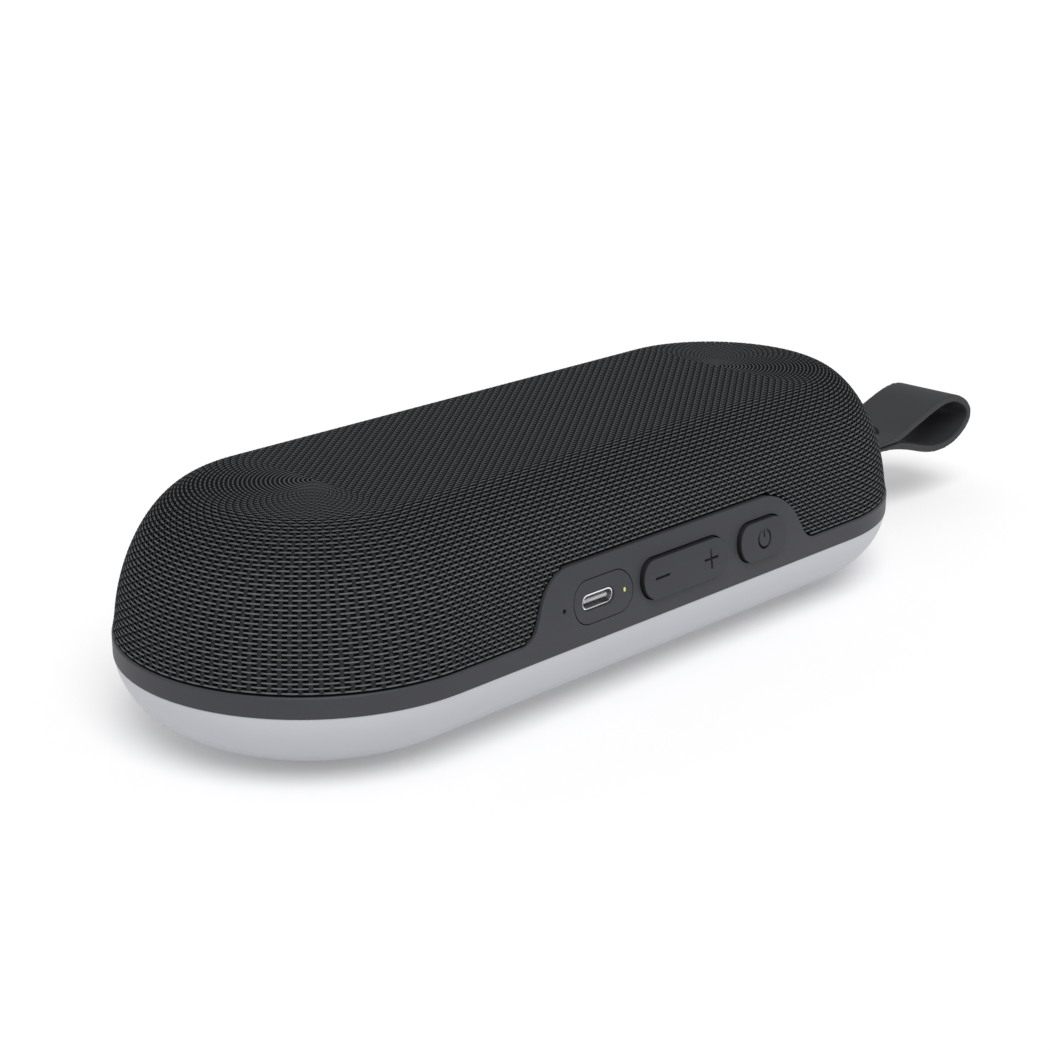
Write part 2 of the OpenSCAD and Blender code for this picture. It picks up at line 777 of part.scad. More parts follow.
module board_parts() {
    color([0.12, 0.12, 0.13]) translate([-half_straight, 0, board_z + board_thick]) {
        block([-16, -5, 0], [-7, 4, 1.2]); // amplifier
        block([2, -4, 0], [9, 3, 1]); // radio and processor
        for (y = [-11, 6]) block([-8, y, 0], [-2, y + 5, 3]); // coils
        for (x = [-15, -10]) translate([x, 10, 0]) cylinder(r = 2, h = 4.6, $fn = 32);
        block([18.5, -3, 0], [21.5, 3, 3]); // battery connector
        block([11, 8, 0], [15, 12, 2.6]); // speaker connector
        block([10.6, -16, 0], [18.6, -13, 2.8]); // ribbon connector
    }
}

module board_screws() {
    color([0.6, 0.6, 0.62]) for (sx = [-1, 1], sy = [-1, 1])
        translate([sx * board_screw[0] - half_straight, sy * board_screw[1], board_z + board_thick])
        screw(small_screw_r, board_screw_length, small_head_r, small_head);
}

module control_board() {
    color([0.05, 0.3, 0.16]) difference() {
        block([control_x[0], -control_y, control_z[0]],
            [control_x[1], board_thick - control_y, control_z[1]]);
        for (x = boss_x)
            front_rod(x, boss_z, small_screw_r + through, control_y - board_thick - cut, control_y + cut);
    }
}

module control_screws() {
    color([0.6, 0.6, 0.62]) for (x = boss_x) translate([x, board_thick - control_y, boss_z])
        rotate([-90, 0, 0]) screw(small_screw_r, board_screw_length, small_head_r, small_head);
}

// ---- Control panel ----

module port_insert() {
    color([0.28, 0.28, 0.3]) difference() {
        union() {
            intersection() {
                pill(insert_x, key_z, [insert_length, insert_height], insert_back, front_far);
                behind_panel(0);
            }
            pill(insert_x, key_z, [insert_length, insert_height] + 2 * [flange_grow, flange_grow],
                insert_back, pocket_y - 0.1);
        }
        pill(port_x, key_z, port_size + [0.3, 0.3], insert_back - cut, front_far);
        pill_upright(led_x, key_z, led_size + [0.12, 0.12], insert_back - cut, front_far);
    }
}

// A pill that stands on its end
module pill_upright(x, z, size, y_from, y_to) {
    reach = (size[1] - size[0]) / 2;
    for (side = [-1, 1]) front_rod(x, z + side * reach, size[0] / 2, y_from, y_to);
    block([x - size[0] / 2, -y_to, z - reach], [x + size[0] / 2, -y_from, z + reach]);
}

module port_seal() {
    color([0.1, 0.1, 0.1]) difference() {
        pill(port_x, key_z, port_size + [3, 3], insert_back - 1.2, insert_back - 0.1);
        pill(port_x, key_z, port_size + [0.1, 0.1], insert_back - 2, insert_back + cut);
    }
}

module usb_shell() {
    inner = port_size - 2 * [port_wall, port_wall];
    color([0.8, 0.8, 0.82]) difference() {
        pill(port_x, key_z, port_size, control_y, port_mouth);
        pill(port_x, key_z, inner, control_y - cut, port_mouth + cut);
    }
}

module usb_tongue() {
    color([0.08, 0.08, 0.09]) {
        block([port_x - 3.35, 0.6 - port_mouth, key_z - 0.35],
            [port_x + 3.35, -control_y - 1.6, key_z + 0.35]);
        pill(port_x, key_z, port_size - [0.74, 0.7], control_y, control_y + 1.8);
    }
}

module status_led() {
    color([0.9, 0.9, 0.6])
        block([led_x - 0.8, -control_y - 0.8, key_z - 0.5], [led_x + 0.8, -control_y, key_z + 0.5]);
}

module light_pipe() {
    color([0.85, 0.95, 0.3]) intersection() {
        pill_upright(led_x, key_z, led_size, control_y + 0.9, front_far);
        behind_panel(0);
    }
}

module microphone() {
    color([0.7, 0.7, 0.72]) difference() {
        block([mic_x - 1.9, -control_y - 1.1, key_z - 1.5], [mic_x + 1.9, -control_y, key_z + 1.5]);
        front_rod(mic_x, key_z, 0.25, control_y + 0.6, control_y + 2);
    }
}

module mic_tube() {
    color([0.1, 0.1, 0.1]) difference() {
        front_rod(mic_x, key_z, 1.5, control_y + 1.2, pocket_y - 0.05);
        front_rod(mic_x, key_z, 0.6, control_y + 1, pocket_y + 1);
    }
}

module switch_bodies() {
    color([0.15, 0.15, 0.16]) for (x = switch_x) difference() {
        block([x - switch_half, -control_y - switch_depth, key_z - switch_half],
            [x + switch_half, -control_y, key_z + switch_half]);
        front_rod(x, key_z, plunger_r + running, control_y + 0.5, control_y + 3);
    }
}

module plunger(x) {
    color([0.8, 0.75, 0.6]) front_rod(x, key_z, plunger_r, control_y + 1, plunger_y);
}

// A key's outer body, which follows the panel's surface
module key_body(x, length) {
    intersection() {
        pill(x, key_z, [length, key_height], key_back, front_far);
        behind_panel(key_proud);
    }
}

// The cut of one bar of a sign, from its middle and its half-sizes
module sign_bar(x, z, half) {
    block([x - half[0], -front_far, z - half[1]], [x + half[0], -sign_y, z + half[1]]);
}

module volume_rocker() {
    color([0.27, 0.27, 0.29]) difference() {
        union() {
            key_body(rocker_x, rocker_length);
            block([rocker_x - hub_r, -key_back - 0.2, key_z - hub_half],
                [rocker_x + hub_r, -pivot_y, key_z + hub_half]);
            translate([rocker_x, -pivot_y, key_z - hub_half])
                cylinder(r = hub_r, h = 2 * hub_half, $fn = 32);
            for (side = [-1, 1])
                front_rod(rocker_x + side * stem_reach, key_z, stem_r,
                    plunger_y + touch_gap, key_back + 0.2);
        }
        translate([rocker_x, -pivot_y, key_z - 5]) cylinder(r = pivot_r + running, h = 10, $fn = 32);
        // Minus and plus signs
        for (side = [-1, 1]) sign_bar(rocker_x + side * sign_reach, sign_z, [sign_half, sign_width / 2]);
        sign_bar(rocker_x + sign_reach, sign_z, [sign_width / 2, sign_half]);
    }
}

module rocker_pin() {
    color([0.8, 0.8, 0.82]) translate([rocker_x, -pivot_y, ear_z[0][0] + 0.1])
        cylinder(r = pivot_r, h = ear_z[1][1] - ear_z[0][0] - pin_cover - 0.3, $fn = 32);
}

module power_key() {
    color([0.27, 0.27, 0.29]) difference() {
        union() {
            key_body(power_x, power_length);
            pill(power_x, key_z, [power_length, key_height] + 2 * [flange_grow, flange_grow],
                key_back, pocket_y - 0.1);
            front_rod(power_x, key_z, stem_r, plunger_y + touch_gap, key_back + 0.2);
        }
        // Standby sign: a broken ring and a bar
        difference() {
            front_rod(power_x, sign_z, ring_r, sign_y, front_far);
            front_rod(power_x, sign_z, ring_r - sign_width, sign_y - cut, front_far + cut);
            block([power_x - ring_break, -front_far - cut, sign_z],
                [power_x + ring_break, cut - sign_y, sign_z + 2 * ring_r]);
        }
        sign_bar(power_x, sign_z + 1.3, [sign_width / 2, 1.1]);
    }
}

// ---- Strap ----

module strap_lug() {
    color([0.2, 0.2, 0.21]) difference() {
        union() {
            block([body_end - 7, -lug_half[0], pin_z - lug_half[1]],
                [pin_x, lug_half[0], pin_z + lug_half[1]]);
            front_rod(pin_x, pin_z, eye_r, -lug_half[0], lug_half[0]);
            intersection() {
                block([body_end - 9, -7.5, pin_z - 1.9], [body_end, 7.5, pin_z + 1.9]);
                translate([half_straight, 0, 0]) cylinder(r = lip_in - 0.1, h = 40, $fn = 96);
            }
        }
        front_rod(pin_x, pin_z, pin_r + slack, -20, 20);
    }
}

module strap_pin() {
    color([0.8, 0.8, 0.82]) front_rod(pin_x, pin_z, pin_r, -pin_half, pin_half);
}

module strap_outline() {
    line = spline(strap_points, strap_steps);
    inner = beside(line, strap_thick / 2);
    difference() {
        union() {
            polygon(concat(
                [[pin_x, pin_z - strap_thick]],
                beside(line, -strap_thick / 2),
                [[pin_x, pin_z + strap_thick]]
            ));
            translate([pin_x, pin_z]) circle(r = strap_eye_r);
        }
        polygon([for (i = [strap_fused:len(inner) - 1 - strap_fused]) inner[i]]);
    }
}

module strap() {
    color([0.26, 0.26, 0.28]) difference() {
        translate([0, strap_width / 2, 0]) rotate([90, 0, 0]) linear_extrude(strap_width) strap_outline();
        block([pin_x - 6, -notch_half, 5], [notch_end, notch_half, 35]);
        translate([notch_end, 0, 5]) cylinder(r = notch_half, h = 30);
        front_rod(pin_x, pin_z, pin_r + running, -pin_half - 0.2, pin_half + 0.2);
        for (side = [-1, 1]) translate([0, side * strap_width / 2, 0])
            block([seam_x[0], -seam[0], seam_z - seam[1] / 2], [seam_x[1], seam[0], seam_z + seam[1] / 2]);
    }
}

// ---- Leads held inside ----

module speaker_leads() {
    color([0.7, 0.1, 0.1]) {
        lead([[-47.6, 12.7, 10.6], [-43.6, 19, 14.4], [-terminal[0], terminal[1], terminal[2]]], lead_r);
        lead([[-44.9, 9.4, 10.8], [-43, 18, 11.8], [-38, 22, 9.4], [38, 22, 9.4], terminal], lead_r);
    }
}

module battery_lead() {
    color([0.7, 0.1, 0.1])
        lead([[-38.9, 0, 10.8], [-36.8, 0, 12], [-35, 0, 16], [-33.3, 4, 16.4]], lead_r);
}

module control_flex() {
    level = board_z + board_thick + 2.8;
    back = board_thick + 0.3 - control_y;
    far = -half_straight + 10.8;
    color([0.85, 0.55, 0.15]) {
        block([-36, back, level], [-28, back + flex_thick, 22]);
        block([-36, back, level], [-28, -22, level + flex_thick]);
        block([far, -24, level], [-28, -20.6, level + flex_thick]);
        block([far, -24, level], [far + 7.6, -14, level + flex_thick]);
    }
}

base_shell();
foot_pad();
seal_ring();
mid_frame();
frame_screws();
grille_frame();
fabric_cover();
baffle_plate();
baffle_screws();
driver_frame(-1);  // left_driver_frame
driver_frame(1);  // right_driver_frame
driver_top_plates();
driver_magnets();
driver_yokes();
driver_gaskets();
driver_screws();
spider(-1);  // left_spider
spider(1);  // right_spider
surround(-1);  // left_surround
surround(1);  // right_surround
cone(-1);  // left_cone
cone(1);  // right_cone
dust_cap(-1);  // left_dust_cap
dust_cap(1);  // right_dust_cap
voice_coil(-1);  // left_voice_coil
voice_coil(1);  // right_voice_coil
radiator_frame();
radiator_surround();
radiator_plate();
battery_cell(-1);  // front_battery_cell
battery_cell(1);  // rear_battery_cell
battery_cradle();
main_board();
board_parts();
board_screws();
control_board();
control_screws();
port_insert();
port_seal();
usb_shell();
usb_tongue();
status_led();
light_pipe();
microphone();
mic_tube();
switch_bodies();
plunger(switch_x[0]);  // minus_plunger
plunger(switch_x[1]);  // plus_plunger
plunger(switch_x[2]);  // power_plunger
volume_rocker();
rocker_pin();
power_key();
strap_lug();
strap_pin();
strap();
speaker_leads();
battery_lead();
control_flex();
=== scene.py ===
import json
import math

import bpy
import numpy as np
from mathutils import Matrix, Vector


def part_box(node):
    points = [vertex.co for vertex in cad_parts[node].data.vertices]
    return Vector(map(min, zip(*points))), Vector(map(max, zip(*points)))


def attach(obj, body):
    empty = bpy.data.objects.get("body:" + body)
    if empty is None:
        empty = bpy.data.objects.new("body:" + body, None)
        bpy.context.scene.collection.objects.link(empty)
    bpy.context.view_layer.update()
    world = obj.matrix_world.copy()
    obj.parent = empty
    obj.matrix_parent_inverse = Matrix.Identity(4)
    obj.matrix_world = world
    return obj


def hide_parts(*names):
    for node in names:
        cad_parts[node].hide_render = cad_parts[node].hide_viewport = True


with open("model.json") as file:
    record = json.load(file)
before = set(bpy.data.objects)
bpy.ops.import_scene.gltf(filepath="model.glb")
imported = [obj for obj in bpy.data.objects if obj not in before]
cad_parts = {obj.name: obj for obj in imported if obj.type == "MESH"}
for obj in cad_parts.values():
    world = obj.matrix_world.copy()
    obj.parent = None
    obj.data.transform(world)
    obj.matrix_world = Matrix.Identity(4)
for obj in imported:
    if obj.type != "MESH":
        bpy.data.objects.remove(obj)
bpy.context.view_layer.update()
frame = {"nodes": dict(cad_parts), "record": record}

MM = 0.001
NODES = frame["nodes"]
SLOT_OF = {p["node"]: p["material_slot"] for p in frame["record"]["subparts"]}

# ---- Sizes that come from the frame ----

dome_low, dome_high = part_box("fabric_cover")
base_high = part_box("base_shell")[1]
HALF_STRAIGHT = base_high.x - base_high.y  # half-length of the body's straight sides
HEM = dome_low.z
TOP = dome_high.z
DOME_R = dome_high.y

# Shape of the dome's section and of the control panel's outline, as in the part's source
DOME_REACH = 16.9 * MM
DOME_POWER = 1.77
PANEL_X = 1.3 * MM
PANEL_TOP = 32.3 * MM
PANEL_FLAT = 29.9 * MM
PANEL_CORNER = 10.85 * MM
PANEL_SLOPE = math.radians(26.6)
PANEL_FLARE = 5 * MM
PANEL_GAP = 0.3 * MM  # between the cloth's edge and the panel
HEM_LINE = 20.4 * MM  # the band's upper edge
KEY_FACE = 41.2 * MM  # distance of the keys' face from the long axis at the band's upper edge
KEY_REACH = 18.4 * MM  # how far the panel's section draws in to the top
WALL_SHADE_DEPTH = (0.22 * MM, 0.40 * MM)  # depths behind the keys' face where the painted shade starts and is full
WALL_SHADE_TONE = 0.3  # tone of the painted shade on the keys' walls and signs, where their face is 1
SAME_POINT = 2e-6  # points of a CAD mesh closer than this are one

# ---- Materials ----


def finish(name, color, rough, metal=0.0, vary=0.05, scale=90.0, bump=0.0, grain=5000.0, bevel=0.0,
           coat=0.0, sheen=0.0, glow=0.0, spec=0.5, stretch=(1, 1, 1), second=None):
    """A procedural finish: cloudy colour and roughness, a fine grain and softened edges."""
    mat = bpy.data.materials.new(name)
    mat.use_nodes = True
    tree = mat.node_tree
    make, link = tree.nodes.new, tree.links.new
    shader = tree.nodes["Principled BSDF"]
    where = make("ShaderNodeTexCoord")
    mapping = make("ShaderNodeMapping")
    mapping.inputs["Scale"].default_value = stretch
    link(where.outputs["Object"], mapping.inputs["Vector"])
    cloud = make("ShaderNodeTexNoise")
    cloud.inputs["Scale"].default_value = scale
    cloud.inputs["Detail"].default_value = 4
    link(mapping.outputs["Vector"], cloud.inputs["Vector"])
    ramp = make("ShaderNodeValToRGB")
    dark = second or [c * (1 - vary) for c in color]
    ramp.color_ramp.elements[0].position = 0.35
    ramp.color_ramp.elements[0].color = (*dark, 1)
    ramp.color_ramp.elements[1].position = 0.65
    ramp.color_ramp.elements[1].color = (*[min(1, c * (1 + vary)) for c in color], 1)
    link(cloud.outputs["Fac"], ramp.inputs["Fac"])
    link(ramp.outputs["Color"], shader.inputs["Base Color"])
    spread = make("ShaderNodeMapRange")
    spread.inputs["To Min"].default_value = max(0.02, rough - 0.05)
    spread.inputs["To Max"].default_value = min(1.0, rough + 0.05)
    link(cloud.outputs["Fac"], spread.inputs["Value"])
    link(spread.outputs["Result"], shader.inputs["Roughness"])
    shader.inputs["Metallic"].default_value = metal
    shader.inputs["Coat Weight"].default_value = coat
    shader.inputs["Sheen Weight"].default_value = sheen
    shader.inputs["Specular IOR Level"].default_value = spec
    edge = None
    if bevel:
        edge = make("ShaderNodeBevel")
        edge.samples = 6
        edge.inputs["Radius"].default_value = bevel * MM
        link(edge.outputs["Normal"], shader.inputs["Normal"])
    if bump:
        fine = make("ShaderNodeTexNoise")
        fine.inputs["Scale"].default_value = grain
        fine.inputs["Detail"].default_value = 2
        link(mapping.outputs["Vector"], fine.inputs["Vector"])
        raised = make("ShaderNodeBump")
        raised.inputs["Strength"].default_value = 1
        raised.inputs["Distance"].default_value = bump * MM
        link(fine.outputs["Fac"], raised.inputs["Height"])
        if edge:
            link(edge.outputs["Normal"], raised.inputs["Normal"])
        link(raised.outputs["Normal"], shader.inputs["Normal"])
    if glow:
        link(ramp.outputs["Color"], shader.inputs["Emission Color"])
        shader.inputs["Emission Strength"].default_value = glow
    return mat


FINISHES = {
    "shell_plastic": dict(color=(0.455, 0.464, 0.496), rough=0.42, vary=0.012, scale=40, bump=0.004,
                          bevel=0.35),
    "foot_rubber": dict(color=(0.02, 0.02, 0.021), rough=0.7, vary=0.15, bump=0.01, bevel=0.2),
    "seal_rubber": dict(color=(0.012, 0.012, 0.012), rough=0.6, vary=0.15),
    "band_plastic": dict(color=(0.044, 0.045, 0.051), rough=0.5, vary=0.03, scale=60, bump=0.004, bevel=0.2,
                         spec=0.25),
    "screw_steel": dict(color=(0.55, 0.55, 0.57), rough=0.3, metal=1, vary=0.08, scale=800, bevel=0.1),
    "grille_plastic": dict(color=(0.006, 0.006, 0.0065), rough=0.7, vary=0.1, bump=0.004, spec=0),
    "baffle_plastic": dict(color=(0.03, 0.03, 0.032), rough=0.5, vary=0.1, bump=0.006, bevel=0.2),
    "basket_steel": dict(color=(0.03, 0.03, 0.033), rough=0.4, vary=0.12, bump=0.004, bevel=0.2),
    "magnet_ferrite": dict(color=(0.045, 0.045, 0.05), rough=0.55, vary=0.25, scale=300, bump=0.01,
                           bevel=0.2),
    "yoke_steel": dict(color=(0.5, 0.5, 0.52), rough=0.3, metal=1, vary=0.08, scale=300, bevel=0.2),
    "spider_cloth": dict(color=(0.42, 0.26, 0.09), rough=0.85, vary=0.2, scale=900, bump=0.03, grain=3500),
    "surround_rubber": dict(color=(0.018, 0.018, 0.018), rough=0.5, vary=0.12, bump=0.004),
    "cone_paper": dict(color=(0.035, 0.035, 0.038), rough=0.75, vary=0.25, scale=700, bump=0.02,
                       grain=2500),
    "cap_plastic": dict(color=(0.05, 0.05, 0.053), rough=0.25, vary=0.08, coat=0.3),
    "coil_former": dict(color=(0.6, 0.28, 0.1), rough=0.35, metal=0.9, vary=0.12, scale=900,
                        stretch=(0.05, 0.05, 4), bump=0.02, grain=1200),
    "radiator_metal": dict(color=(0.4, 0.41, 0.43), rough=0.35, metal=1, vary=0.06, scale=500,
                           stretch=(0.1, 1, 1), bevel=0.2),
    "cell_wrap": dict(color=(0.03, 0.14, 0.26), rough=0.3, vary=0.08, coat=0.4, bevel=0.4),
    "cradle_plastic": dict(color=(0.02, 0.02, 0.022), rough=0.55, vary=0.1, bump=0.006, bevel=0.2),
    "board_green": dict(color=(0.012, 0.09, 0.04), rough=0.35, vary=0.25, scale=420, coat=0.3, bevel=0.1,
                        second=(0.008, 0.055, 0.028)),
    "part_black": dict(color=(0.02, 0.02, 0.021), rough=0.45, vary=0.2, scale=600, bump=0.006, bevel=0.15),
    "insert_plastic": dict(color=(0.042, 0.043, 0.049), rough=0.5, vary=0.03, scale=60, bump=0.004,
                           bevel=0.12, spec=0.25),
    "port_steel": dict(color=(0.94, 0.94, 0.95), rough=0.24, metal=1, vary=0.04, scale=700, bevel=0.12),
    "tongue_plastic": dict(color=(0.40, 0.40, 0.41), rough=0.3, vary=0.2, scale=700, coat=0.4, bevel=0.12),
    "led_lens": dict(color=(0.33, 0.42, 0.07), rough=0.3, vary=0.1, scale=900, glow=0.25,
                     second=(0.50, 0.56, 0.22)),
    "mic_can": dict(color=(0.6, 0.6, 0.62), rough=0.3, metal=1, vary=0.06, scale=700, bevel=0.1),
    "key_rubber": dict(color=(0.040, 0.041, 0.047), rough=0.55, vary=0.03, scale=60, bump=0.004, spec=0.25),
    "pin_steel": dict(color=(0.65, 0.65, 0.67), rough=0.22, metal=1, vary=0.05, scale=500, bevel=0.1),
    "lug_plastic": dict(color=(0.03, 0.03, 0.032), rough=0.5, vary=0.12, bump=0.006, bevel=0.25),
    "strap_rubber": dict(color=(0.031, 0.032, 0.036), rough=0.55, vary=0.04, scale=70, bump=0.004,
                         spec=0.25),
    "lead_wire": dict(color=(0.3, 0.02, 0.02), rough=0.4, vary=0.12, scale=300),
    "flex_film": dict(color=(0.5, 0.2, 0.03), rough=0.25, vary=0.15, scale=300, coat=0.4,
                      second=(0.6, 0.34, 0.08)),
}
MATERIALS = {name: finish(name, **settings) for name, settings in FINISHES.items()}


def scale_color(mat, factor):
    """Scales a finish's colour by a factor that is worked out from the object's own coordinates."""
    tree = mat.node_tree
    link = tree.links.new
    where = next(n for n in tree.nodes if n.type == "TEX_COORD")
    ramp = next(n for n in tree.nodes if n.type == "VALTORGB")
    split = tree.nodes.new("ShaderNodeSeparateXYZ")
    link(where.outputs["Object"], split.inputs["Vector"])
    tone = tree.nodes.new("ShaderNodeVectorMath")
    tone.operation = "SCALE"
    link(ramp.outputs["Color"], tone.inputs["Vector"])
    link(factor(tree, split.outputs["Y"], split.outputs["Z"]), tone.inputs["Scale"])
    link(tone.outputs["Vector"], tree.nodes["Principled BSDF"].inputs["Base Color"])


def map_range(tree, value, start, end):
    """Runs evenly from one tone to another between two (value, tone) pairs, and stays level outside them."""
    node = tree.nodes.new("ShaderNodeMapRange")
    for socket, number in zip(("From Min", "To Min", "From Max", "To Max"), (*start, *end)):
        node.inputs[socket].default_value = number
    tree.links.new(value, node.inputs["Value"])
    return node.outputs["Result"]


def by_height(start, end):
    """A tone that runs between two (height, tone) pairs."""
    return lambda tree, y, z: map_range(tree, z, start, end)


def painted_key_shade(tree, y, z):
    """1 on the keys' face, with painted shade on their walls and engraved signs, which lie deeper.

    The face follows the dome's section further out. This low on it, the curve's first term is close enough.
    """
    def calc(operation, first, second):
        node = tree.nodes.new("ShaderNodeMath")
        node.operation = operation
        for slot, value in enumerate((first, second)):
            if isinstance(value, (int, float)):
                node.inputs[slot].default_value = value
            else:
                tree.links.new(value, node.inputs[slot])
        return node.outputs["Value"]

    rise = TOP + KEY_FACE - base_high.y - HEM_LINE
    height = calc("DIVIDE", calc("SUBTRACT", z, HEM_LINE), rise)
    bend = calc("POWER", calc("MAXIMUM", height, 0.0), DOME_POWER)
    setback = calc("MULTIPLY", bend, KEY_REACH / DOME_POWER)
    depth = calc("ADD", calc("SUBTRACT", KEY_FACE, setback), y)
    return map_range(tree, depth, (WALL_SHADE_DEPTH[0], 1), (WALL_SHADE_DEPTH[1], WALL_SHADE_TONE))


# Painted shade on the keys' walls and engraved signs, darker the deeper they lie behind the face
scale_color(MATERIALS["key_rubber"], painted_key_shade)
# Painted light and shade on the base shell: darker toward the floor, lighter toward the rim
scale_color(MATERIALS["shell_plastic"], by_height((1 * MM, 0.86), (0.52 * base_high.z, 1.1)))

YARN = dict(rough=0.8, scale=1600, bump=0.012, grain=9000, spec=0)
WEFT = finish("cover_weft", (0.116, 0.119, 0.123), vary=0.10, **YARN)
WARP = finish("cover_warp", (0.026, 0.027, 0.029), vary=0.14, **YARN)
# Painted shade on the cover's yarns: darker toward the top of the dome
for yarn in (WEFT, WARP):
    scale_color(yarn, by_height((0.78 * TOP, 1), (0.97 * TOP, 0.78)))
# A thin black sheet under the yarns: painted shade seen through the weave's holes
SHADE_LINER = finish("cover_shade_liner", (0.004, 0.004, 0.004), 0.9, vary=0.2, scale=1600, spec=0)


def shading_group(angle):
    """Joins the split corners of a CAD mesh, then shades it smooth below an angle and sharp above it."""
    group = bpy.data.node_groups.new("smooth_below_angle", "GeometryNodeTree")
    group.interface.new_socket("Geometry", in_out="INPUT", socket_type="NodeSocketGeometry")
    group.interface.new_socket("Geometry", in_out="OUTPUT", socket_type="NodeSocketGeometry")
    make, link = group.nodes.new, group.links.new
    source, sink = make("NodeGroupInput"), make("NodeGroupOutput")
    joined = make("GeometryNodeMergeByDistance")
    joined.inputs["Distance"].default_value = SAME_POINT
    faces = make("GeometryNodeSetShadeSmooth")
    faces.domain = "FACE"
    edges = make("GeometryNodeSetShadeSmooth")
    edges.domain = "EDGE"
    edges.inputs["Shade Smooth"].default_value = False
    turn = make("GeometryNodeInputMeshEdgeAngle")
    sharp = make("FunctionNodeCompare")
    sharp.data_type, sharp.operation = "FLOAT", "GREATER_THAN"
    sharp.inputs[1].default_value = math.radians(angle)
    link(source.outputs[0], joined.inputs["Geometry"])
    link(joined.outputs["Geometry"], faces.inputs["Geometry"])
    link(faces.outputs["Geometry"], edges.inputs["Geometry"])
    link(turn.outputs["Unsigned Angle"], sharp.inputs[0])
    link(sharp.outputs["Result"], edges.inputs["Selection"])
    link(edges.outputs["Geometry"], sink.inputs[0])
    return group


SMOOTH = shading_group(32)


def shade(obj):
    """Shades a CAD node by its edges' angles, in place of the normals it came with."""
    split = obj.data.attributes.get("custom_normal")
    if split:
        obj.data.attributes.remove(split)
    modifier = obj.modifiers.new("shade", "NODES")
    modifier.node_group = SMOOTH


for name, obj in NODES.items():
    obj.data.materials.clear()
    obj.data.materials.append(MATERIALS.get(SLOT_OF[name], WEFT))
    shade(obj)


def add(name, data, body, materials, replaced=()):
    """Puts a piece in the scene on its body, and in place of the CAD nodes it stands for."""
    obj = bpy.data.objects.new(name, data)
    bpy.context.scene.collection.objects.link(obj)
    for material in materials:
        data.materials.append(material)
    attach(obj, body)
    if replaced:
        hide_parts(*replaced)
    return obj


# ---- Rubber and keys with softly moulded edges ----


def moulded(name, node, body, voxel, rounds):
    """The CAD solid rebuilt as one skin of voxel-sized faces, with edges rounded off by so many rounds."""
    work = bpy.data.objects.new("work", NODES[node].data.copy())
    bpy.context.scene.collection.objects.link(work)
    join = work.modifiers.new("join", "WELD")
    join.merge_threshold = SAME_POINT
    skin = work.modifiers.new("skin", "REMESH")
    skin.mode = "VOXEL"
    skin.voxel_size = voxel * MM
    soft = work.modifiers.new("soft", "SMOOTH")
    soft.factor = 0.5
    soft.iterations = rounds
    bpy.context.view_layer.update()
    data = bpy.data.meshes.new_from_object(work.evaluated_get(bpy.context.evaluated_depsgraph_get()))
    bpy.data.objects.remove(work)
    data.name = name
    data.materials.clear()
    data.shade_smooth()
    return add(name, data, body, [MATERIALS[SLOT_OF[node]]], (node,))


moulded("strap_skin", "strap", "strap_loop", voxel=0.25, rounds=5)
moulded("volume_rocker_skin", "volume_rocker", "volume_key", voxel=0.1, rounds=3)
moulded("power_key_skin", "power_key", "power_button", voxel=0.1, rounds=3)

# ---- Woven cover ----

SIDE_RIBS = 101  # ribs along one straight side
CAP_RIBS = 66  # ribs round one end
TURN = 2 * (SIDE_RIBS + CAP_RIBS)
ROWS = 65  # weft rows from the hem to the middle of the top
DEPTH = 0.13 * MM  # the cloth's middle below the dome's surface
HEM_OUT = 0.4 * MM  # how far the cloth comes out to the band at its hem
HEM_RISE = 3.5 * MM  # height over which it does so
FIRST_ROW = 0.55 * MM  # length up the section of the lowest row
WEFT_HALF = (0.18 * MM, 0.055 * MM)  # half-width and half-thickness of the weft
WARP_SHARE = 0.50  # a rib's width as a share of its pitch
WARP_THICK = 0.045 * MM  # half-thickness of a rib
WAVE = 0.06 * MM  # how far a yarn rises and dips at the crossings
WAVE_POWER = 0.7  # below 1 it holds a yarn flat over each crossing
POLE_GAP = 1.6 * MM  # the ribs round the ends stop this far from the middle
STEPS = 3  # points of a row from one rib to the next
SIDES = 6  # of a yarn's cross-section
SIDE_PITCH = 2 * HALF_STRAIGHT / SIDE_RIBS

# Where the ribs run closer together than these, yarns lie flatter or get thinner
WEFT_FLAT_PITCH = 1.3 * MM
WARP_FLAT_PITCH = 0.9 * MM
WARP_THIN_PITCH = 0.8 * MM

# Ends of yarns at the panel's rim and at the hem
TUCK = -0.75 * MM  # lift of an end, which dips under the rim beside it
DIP = -0.1 * MM  # highest lift of the point before a row's end
BEND = 0.12  # distance of that point from the end, in ribs
CLEAR = 0.3  # least distance of a row's evenly spaced points from its end, in ribs
RIB_CLEAR = 0.25 * MM  # least distance of a rib's evenly spaced points from its lower end
HEM_START = 0.1 * MM  # length up the section where a rib starts at the hem
GROW = PANEL_GAP + 0.05 * MM  # how far outside the panel's outline the yarns end

# The yarns' finishes, and the strip of the texture that each yarn has: the weft's strips come first
WEFT_KIND, WARP_KIND = 0, 1
WEFT_PART = 0.66  # the weft's part of the texture
WEFT_STRIP = WEFT_PART / ROWS
RIB_STRIP = (1 - WEFT_PART) / (SIDE_RIBS + 2 * CAP_RIBS)
WEFT_FILL = 0.94  # how much of its strip a weft row takes up
RIB_FILL = 0.9
END_SPOT = 0.001  # length of the spot in the strip for a yarn's end face
END_INSET = 0.2  # what it leaves free at either edge of the strip

# A thin black sheet under the yarns, painted shade seen through the weave's holes
SHADE_LINER_TUCK = 0.6 * MM  # how far the sheet of painted shade runs in under the panel's rim
SHADE_LINER_DEPTH = 0.2 * MM  # the sheet of painted shade below the cloth's middle
SHADE_LINER_STEPS = 60  # points of the sheet of painted shade from the hem to the middle
